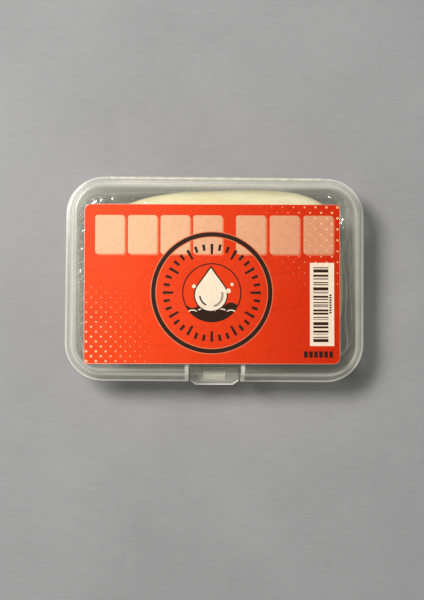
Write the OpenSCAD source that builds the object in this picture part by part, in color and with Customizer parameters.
// Detailing clay in a hinged snap-lid case: a clear polypropylene case of two
// shells on a living hinge, a sprung latch tab, a stuck-on label, and a slab of
// clay wrapped in clear film.
//
// Millimetres. +X runs along the case, -Y is the latch side, +Z is up.
// The origin is the centre of the case's flat underside.

/* [Case] */
// Length over the flange
case_w = 95; // [90:1:120]
// Depth over the flange
case_d = 65; // [62:1:90]
// Height of the closed case
case_h = 22; // [22:0.5:30]
// Height of the parting plane, where the two flanges meet
part_z = 13; // [13:0.5:16]
// Corner radius of the flange outline
corner_r = 12; // [10:0.5:14]
// Thickness of the base's walls
wall = 1.2; // [1.1:0.05:1.3]
// Thickness of the lid's walls
lid_wall = 1.1; // [1:0.05:1.2]
// How far a wall leans in from its rim to its far end
draft = 0.6; // [0.3:0.1:0.8]

/* [Flanges and lip] */
// Thickness of the base's flange
flange_t = 1.5; // [1.2:0.1:1.8]
// Thickness of the lid's flange
lid_flange_t = 1.25; // [1:0.05:1.5]
// How far the lid's wall stands in from the flange outline
lid_in = 1.5; // [1.3:0.1:1.7]
// Height of the base's lip, which centres the lid
lip_h = 1.9; // [1.5:0.1:2.2]
// Thickness of that lip
lip_t = 0.7; // [0.6:0.05:0.8]
// Play between the lip and the lid's wall
lip_gap = 0.1; // [0.08:0.01:0.15]

/* [Hinge] */
// Length of the living hinge
hinge_w = 68; // [50:1:68]
// Thickness of its web
web_t = 0.35; // [0.3:0.05:0.4]

/* [Latch] */
// Width of the latch tab where it leaves the lid
tab_w = 15.4; // [13:0.2:15.8]
// Width of the tab's front edge
tab_front_w = 11.8; // [10:0.2:12.5]
// How far the tab stands out past the flange
tab_out = 1; // [0.8:0.1:1.2]
// Height of the tab's lower edge
tab_z = 8.3; // [8:0.1:8.6]
// Width of the catch on the base
catch_w = 7.2; // [6:0.2:8]

/* [Label] */
// Label length
label_w = 80; // [60:1:80]
// Label depth
label_d = 50; // [40:1:50]
// Label corner radius
label_r = 2.5; // [1:0.5:4]
// How far the label is stuck on askew, in degrees
label_turn = 0.3; // [-0.5:0.1:0.5]

/* [Clay] */
// Length of the slab
clay_w = 81; // [60:1:81]
// Depth of the slab
clay_d = 53.4; // [40:0.2:53.4]
// Thickness of the slab
clay_h = 14; // [10:0.5:14]
// How far the slab lies askew in the case, in degrees
clay_turn = 2; // [0:0.5:2]

/* [Hidden] */
$fn = 64;

PLASTIC = [0.86, 0.88, 0.85, 0.4];
FILM = [0.92, 0.94, 0.95, 0.25];

edge = 0.25;             // small chamfer that breaks a moulded edge
floor_t = 1.2;           // thickness of the base's floor
seam = 0.05;             // gap between the two flanges
foot_r = 2;              // radius round the base's underside
inside_r = 1.2;          // radius round the inside of the base's floor
shoulder_r = 2;          // radius round the lid's top
lid_inside_r = 0.8;      // radius round the inside of the lid's top
panel_drop = 0.25;       // how far the lid's panel lies below its rim
panel_t = 1.1;           // thickness of that panel
far = 5;                 // overrun of a cutting block

lid_inner_in = lid_in + lid_wall;
lip_in = lid_inner_in + lip_gap;
base_inner_in = lip_in + lip_t;
base_in = base_inner_in - wall;
lid_z = part_z + seam;
front = -case_d / 2;
back = case_d / 2;

// Living hinge
hinge_y = back + 0.05;
hinge_z = part_z + seam / 2;
bead_r = 0.25;
hinge_relief = 0.6;      // how far the flanges are cut back behind the web
leaf_gap = 0.05;

// Latch
pocket_w = tab_w + 1;    // clear width of the lid's pocket for the tab
pocket_y = front + 4.5;  // outer face of the pocket's rear wall
rib_t = 1.2;
tab_axis_y = pocket_y - 0.65;
tab_axis_z = lid_z + 0.6;
tab_bead_r = 0.5;
shelf_t = 1.1;
skirt_t = 1.1;
tab_y = front - tab_out;
window_w = catch_w + 0.3;
window_d = 2.5;
window_y = tab_axis_y - 0.65 - window_d;
hook_w = catch_w + 1;
catch_out = 1.6;         // how far the catch stands out from the base's wall
catch_z = part_z - 2.5;  // underside of the catch
wall_y = front + base_in;

// Label
label_t = 0.12;
label_at = [-1, -1.9, case_h - panel_drop];

// Clay and its film
clay_at = [0.4, 1.35, floor_t + 0.35];
clay_e = 2.9;            // exponent of the slab's outline, a superellipse
clay_top_r = 5;
clay_foot_r = 3;
clay_points = 72;
film_gap = 0.12;
film_t = 0.15;
sleeve_end = 34;         // how far the sleeve reaches each way from the slab's middle
fold_t = 0.5;

// Points on an arc, from angle a0 to angle a1
function arc(x, y, r, a0, a1, steps = 6) =
    [for (i = [0:steps]) let (a = a0 + (a1 - a0) * i / steps) [x + r * cos(a), y + r * sin(a)]];

// A rounded block whose side follows outline, a list of [inset, height] points from the bottom up.
// An inset is measured in from the flange outline.
module rounded_block(outline) {
    low = outline[0][1];
    high = outline[len(outline) - 1][1];
    section = concat([[0, low]], [for (p = outline) [corner_r - p[0], p[1]]], [[0, high]]);
    span_x = case_w / 2 - corner_r;
    span_y = case_d / 2 - corner_r;
    for (q = [0:3])
        translate([(q == 0 || q == 3 ? 1 : -1) * span_x, (q < 2 ? 1 : -1) * span_y, 0])
            rotate(90 * q)
                rotate_extrude(angle = 90) polygon(section);
    for (turn = [0, 180]) {
        rotate(turn) translate([span_x, span_y, 0])
            rotate([90, 0, 0]) linear_extrude(2 * span_y) polygon(section);
        rotate(turn + 90) translate([span_y, span_x, 0])
            rotate([90, 0, 0]) linear_extrude(2 * span_x) polygon(section);
    }
    translate([-span_x, -span_y, low]) cube([2 * span_x, 2 * span_y, high - low]);
}

// A solid through a stack of closed rings of points, from the lowest ring up
module loft(rings) {
    n = len(rings[0]);
    last = len(rings) - 1;
    points = [for (ring = rings) each ring];
    sides = [for (k = [0:last - 1], i = [0:n - 1]) let (j = (i + 1) % n)
        each [[k * n + i, (k + 1) * n + j, k * n + j], [k * n + i, (k + 1) * n + i, (k + 1) * n + j]]];
    bottom = [for (i = [0:n - 1]) i];
    top = [for (i = [n - 1:-1:0]) last * n + i];
    polyhedron(points, concat([bottom], sides, [top]));
}

// A block across the case's middle, of width w, from y0 to y1 and from z0 to z1
module middle_block(w, y0, y1, z0, z1) {
    translate([-w / 2, y0, z0]) cube([w, y1 - y0, z1 - z0]);
}

// A bar across the case's middle, of width w, with section a list of [y, z] points
module middle_bar(w, section) {
    translate([-w / 2, 0, 0])
        rotate([90, 0, 90]) linear_extrude(w) polygon(section);
}

// Lower shell: floor, walls, flange and the lip that the lid fits over
module base_tray() {
    outline = concat(
        arc(base_in + draft + foot_r, foot_r, foot_r, -90, -180),
        [[base_in, part_z - flange_t], [edge, part_z - flange_t], [0, part_z - flange_t + edge],
         [0, part_z - edge], [edge, part_z], [lip_in, part_z],
         [lip_in, part_z + lip_h - edge], [lip_in + edge, part_z + lip_h]]);
    cavity = concat(
        arc(base_inner_in + draft + inside_r, floor_t + inside_r, inside_r, -90, -180),
        [[base_inner_in, part_z], [base_inner_in, part_z + lip_h + 1]]);
    color(PLASTIC) difference() {
        rounded_block(outline);
        rounded_block(cavity);
        middle_block(pocket_w + 2 * rib_t + 0.6, front, front + 6.2, part_z, part_z + far);
        middle_block(pocket_w, front - far, wall_y, part_z - flange_t - 1, part_z + 1);
        middle_block(hinge_w + 0.4, back - hinge_relief, back + far, part_z - flange_t - 1, part_z + 1);
    }
}

// Wedge on the base's front wall that the tab's hook snaps under
module latch_catch() {
    color(PLASTIC) middle_bar(catch_w, [
        [wall_y, catch_z], [wall_y - catch_out, catch_z], [wall_y - catch_out, catch_z + 0.8],
        [wall_y - 0.5, part_z - 0.1], [wall_y, part_z - 0.1]]);
}

// The base's half of the living hinge, with the bead that it folds about
module hinge_web() {
    color(PLASTIC) union() {
        middle_block(hinge_w, back - hinge_relief, hinge_y, part_z - web_t - 0.02, part_z - 0.02);
        translate([-hinge_w / 2, hinge_y, hinge_z]) rotate([0, 90, 0]) cylinder(r = bead_r, h = hinge_w);
    }
}

// Upper shell: flange, walls, rounded shoulder, and a panel dropped inside a raised rim.
// A pocket at the front leaves room for the latch tab.
module lid_shell() {
    panel_z = case_h - panel_drop;
    ceiling = panel_z - panel_t;
    shoulder_in = lid_in + 0.4 + shoulder_r;
    cavity_in = lid_inner_in + 0.35 + lid_inside_r;
    outline = concat(
        [[edge, lid_z], [0, lid_z + edge], [0, lid_z + lid_flange_t - edge],
         [edge, lid_z + lid_flange_t], [lid_in, lid_z + lid_flange_t]],
        arc(shoulder_in, case_h - shoulder_r, shoulder_r, 180, 90));
    cavity = concat(
        [[lid_inner_in, lid_z - 1], [lid_inner_in, part_z + lip_h]],
        arc(cavity_in, ceiling - lid_inside_r, lid_inside_r, 180, 90));
    recess = [[shoulder_in + 1, panel_z], [shoulder_in + 0.7, case_h + 1]];
    color(PLASTIC) difference() {
        rounded_block(outline);
        difference() {
            rounded_block(cavity);
            middle_block(pocket_w + 2 * rib_t, front, pocket_y + lid_wall, lid_z - 2, case_h);
        }
        rounded_block(recess);
        middle_block(pocket_w, front - far, pocket_y, lid_z - 1, case_h + 1);
        middle_block(hinge_w + 0.4, back - hinge_relief, back + far, lid_z - 1, lid_z + lid_flange_t + 0.4);
    }
}

// The lid's half of the living hinge
module hinge_leaf() {
    color(PLASTIC) middle_block(hinge_w, back - hinge_relief, hinge_y - bead_r - leaf_gap,
                                lid_z + 0.02, lid_z + 0.02 + web_t);
}

// Gusset on the lid's flange, beside the latch tab
module guard_rib(side) {
    flange_top = lid_z + lid_flange_t;
    wall_front = front + lid_in;
    color(PLASTIC) translate([side * (pocket_w + rib_t) / 2, 0, 0]) middle_bar(rib_t, [
        [front + 0.1, flange_top], [front + 0.1, flange_top + 1.2], [front + 0.7, flange_top + 3.6],
        [wall_front, case_h - shoulder_r - 0.6], [wall_front, flange_top]]);
}
module guard_rib_left() { guard_rib(-1); }
module guard_rib_right() { guard_rib(1); }

// Sprung tab: a shelf with a window over the catch, a skirt, and the hook inside it
module latch_tab() {
    shelf_z = tab_axis_z - shelf_t / 2;
    bevel_y = front + 0.3;
    plan = [[-tab_w / 2, tab_axis_y], [-tab_w / 2, bevel_y], [-tab_front_w / 2, tab_y],
            [tab_front_w / 2, tab_y], [tab_w / 2, bevel_y], [tab_w / 2, tab_axis_y]];
    inner_y = tab_y + skirt_t;
    color(PLASTIC) union() {
        difference() {
            translate([0, 0, shelf_z]) linear_extrude(shelf_t) polygon(plan);
            middle_block(window_w, window_y, window_y + window_d, shelf_z - 1, shelf_z + far);
        }
        difference() {
            translate([0, 0, tab_z]) linear_extrude(shelf_z - tab_z) polygon(plan);
            translate([0, 0, tab_z - 1]) linear_extrude(far + far) polygon([
                [-tab_w, back], [-tab_w / 2 - 0.1, bevel_y + 1.1], [-tab_w / 2 + 0.6, bevel_y + 0.6],
                [-tab_front_w / 2 + 0.4, inner_y], [tab_front_w / 2 - 0.4, inner_y],
                [tab_w / 2 - 0.6, bevel_y + 0.6], [tab_w / 2 + 0.1, bevel_y + 1.1], [tab_w, back]]);
        }
        middle_bar(hook_w, [
            [inner_y - 0.3, tab_z], [inner_y + 0.3, tab_z], [inner_y + 1.2, tab_z + 0.9],
            [inner_y + 1.2, catch_z - 0.6], [inner_y - 0.3, catch_z - 0.6]]);
        translate([-tab_w / 2, tab_axis_y, tab_axis_z]) rotate([0, 90, 0]) cylinder(r = tab_bead_r, h = tab_w);
    }
}

// Paper label stuck to the lid's panel
module label() {
    color([0.92, 0.25, 0.13]) translate(label_at) rotate(label_turn) linear_extrude(label_t) union() {
        square([label_w - 2 * label_r, label_d], center = true);
        square([label_w, label_d - 2 * label_r], center = true);
        for (sx = [-1, 1], sy = [-1, 1])
            translate([sx * (label_w / 2 - label_r), sy * (label_d / 2 - label_r)]) circle(r = label_r);
    }
}

// Puts the slab or its film, drawn about the slab's middle, where it lies in the case
module in_case() {
    translate(clay_at) rotate(clay_turn) children();
}

// One level of the slab: its outline drawn in by inset, at height z
function clay_ring(inset, z) = [for (i = [0:clay_points - 1])
    let (a = 360 * i / clay_points, c = cos(a), s = sin(a))
    [(clay_w / 2 - inset) * sign(c) * pow(abs(c), 2 / clay_e),
     (clay_d / 2 - inset) * sign(s) * pow(abs(s), 2 / clay_e),
     z]];

// Pressed slab of clay with rounded edges
module clay_slab() {
    foot = arc(clay_foot_r, clay_foot_r, clay_foot_r, -90, -180, 4);
    shoulder = arc(clay_top_r, clay_h - clay_top_r, clay_top_r, 180, 90, 6);
    color([0.91, 0.85, 0.66]) in_case() loft([for (p = concat(foot, shoulder)) clay_ring(p[0], p[1])]);
}

// Half the slab's depth at distance x from its middle
function clay_half(x) = clay_d / 2 * pow(1 - pow(abs(x) / (clay_w / 2), clay_e), 1 / clay_e);

// Section of the film at x, standing off the slab by gap
function film_section(x, gap) = let (
    half = clay_half(x) + gap,
    top = clay_h + gap,
    rt = clay_top_r + gap,
    rf = clay_foot_r + gap)
    concat(arc(half - rf, rf - gap, rf, -90, 0, 4), arc(half - rt, top - rt, rt, 0, 90, 5),
           arc(rt - half, top - rt, rt, 90, 180, 5), arc(rf - half, rf - gap, rf, 180, 270, 4));

// Open-ended sleeve of film round the slab
module film_sleeve() {
    stations = [for (k = [-9:9]) sleeve_end * sin(10 * k)];
    place = function (x, gap) [for (p = film_section(x, gap)) [x, p[0], p[1]]];
    inner = [for (x = stations) place(x, film_gap)];
    outer = [for (x = stations) place(x, film_gap + film_t)];
    n = len(inner[0]);
    m = len(stations);
    points = concat([for (ring = outer) each ring], [for (ring = inner) each ring]);
    walls = [for (k = [0:m - 2], i = [0:n - 1]) let (j = (i + 1) % n, a = k * n, b = a + n, in = m * n)
        each [[a + i, a + j, b + j], [a + i, b + j, b + i],
              [in + a + i, in + b + j, in + a + j], [in + a + i, in + b + i, in + b + j]]];
    ends = [for (i = [0:n - 1]) let (j = (i + 1) % n, in = m * n, b = (m - 1) * n)
        each [[i, in + j, j], [i, in + i, in + j], [b + i, b + j, in + b + j], [b + i, in + b + j, in + b + i]]];
    color(FILM) in_case() polyhedron(points, concat(walls, ends));
}

// Gathered end of the film, standing between the slab and the case's end wall
module film_fold(side) {
    color(FILM) in_case()
        translate([side * (clay_w / 2 + film_gap + fold_t / 2) - fold_t / 2, -clay_d * 0.34, 0])
            cube([fold_t, clay_d * 0.68, clay_h - 2]);
}
module film_fold_left() { film_fold(-1); }
module film_fold_right() { film_fold(1); }

base_tray();
latch_catch();
hinge_web();
lid_shell();
hinge_leaf();
guard_rib_left();
guard_rib_right();
latch_tab();
label();
clay_slab();
film_sleeve();
film_fold_left();
film_fold_right();
